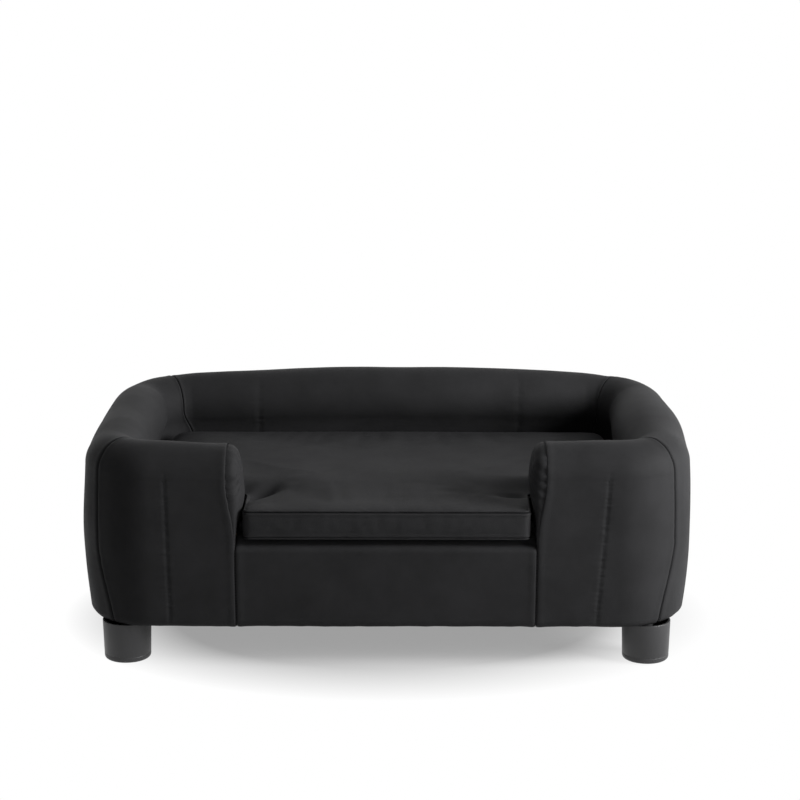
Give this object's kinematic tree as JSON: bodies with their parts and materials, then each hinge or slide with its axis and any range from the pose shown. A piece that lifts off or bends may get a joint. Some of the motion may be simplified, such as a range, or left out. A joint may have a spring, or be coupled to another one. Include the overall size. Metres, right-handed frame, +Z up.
{
  "type": "dog sofa bed",
  "caption": "Low upholstered pet sofa with a rolled wall bent round a loose seat cushion, an open front entrance and short round legs.",
  "frame": {"origin": "on the floor, below the middle of the body", "axes": "+X to the right as seen from the entrance, +Y toward the back, +Z up"},
  "size_m": [0.95, 0.567, 0.3692],
  "materials": {
    "black_leather": "fine grained, satin",
    "leg_plastic": "matt moulded",
    "glide_plastic": "matt",
    "zinc_steel": "zinc plated",
    "plywood": "raw board",
    "bent_ply": "raw bent board",
    "pine": "raw timber",
    "foam": "open cell foam",
    "cushion_foam": "open cell foam",
    "black_cloth": "non-woven",
    "zip_cloth": "woven tape",
    "zip_plastic": "satin",
    "zip_metal": "black enamel"
  },
  "bodies": {
    "sofa": {"leg_front_left": "leg_plastic", "leg_front_right": "leg_plastic", "leg_rear_left": "leg_plastic", "leg_rear_right": "leg_plastic", "leg_glides": "glide_plastic", "leg_bolts": "zinc_steel", "tee_nuts": "zinc_steel", "base_board": "plywood", "front_panel": "plywood", "back_panel": "plywood", "side_panel_left": "plywood", "side_panel_right": "plywood", "corner_panel_front_left": "bent_ply", "corner_panel_front_right": "bent_ply", "corner_panel_rear_left": "bent_ply", "corner_panel_rear_right": "bent_ply", "corner_posts": "pine", "deck_rail_front": "pine", "deck_rail_rear": "pine", "deck_rails_side": "pine", "centre_bearer": "pine", "deck_board": "plywood", "deck_screws": "zinc_steel", "foam_back": "foam", "foam_side_left": "foam", "foam_side_right": "foam", "foam_front_left": "foam", "foam_front_right": "foam", "foam_corner_front_left": "foam", "foam_corner_front_right": "foam", "foam_corner_rear_left": "foam", "foam_corner_rear_right": "foam", "foam_apron": "foam", "arm_end_pad_left": "foam", "arm_end_pad_right": "foam", "cover_back": "black_leather", "cover_side_left": "black_leather", "cover_side_right": "black_leather", "cover_front_left": "black_leather", "cover_front_right": "black_leather", "arm_end_cover_left": "black_leather", "arm_end_cover_right": "black_leather", "cover_apron": "black_leather", "deck_cover": "black_cloth", "dust_cover": "black_cloth"},
    "cushion": {"cushion_core": "cushion_foam", "cushion_top_panel": "black_leather", "cushion_boxing": "black_leather", "cushion_bottom_panel": "black_leather", "zip_tape": "zip_cloth", "zip_coil": "zip_plastic"},
    "slider": {"zip_slider": "zip_metal"},
    "pull": {"zip_pull": "zip_metal"}
  },
  "joints": [
    {"name": "cushion_lift", "type": "slide", "parent": "sofa", "child": "cushion", "axis": [0, 0, 1], "range_m": [0, 0.25]},
    {"name": "zip_slide", "type": "slide", "parent": "cushion", "child": "slider", "axis": [1, 0, 0], "range_m": [0, 0.596]},
    {"name": "pull_swing", "type": "hinge", "parent": "slider", "child": "pull", "pos_m": [-0.298, 0.1811, 0.23225], "axis": [0, 0, 1], "range_deg": [0, 175]}
  ]
}
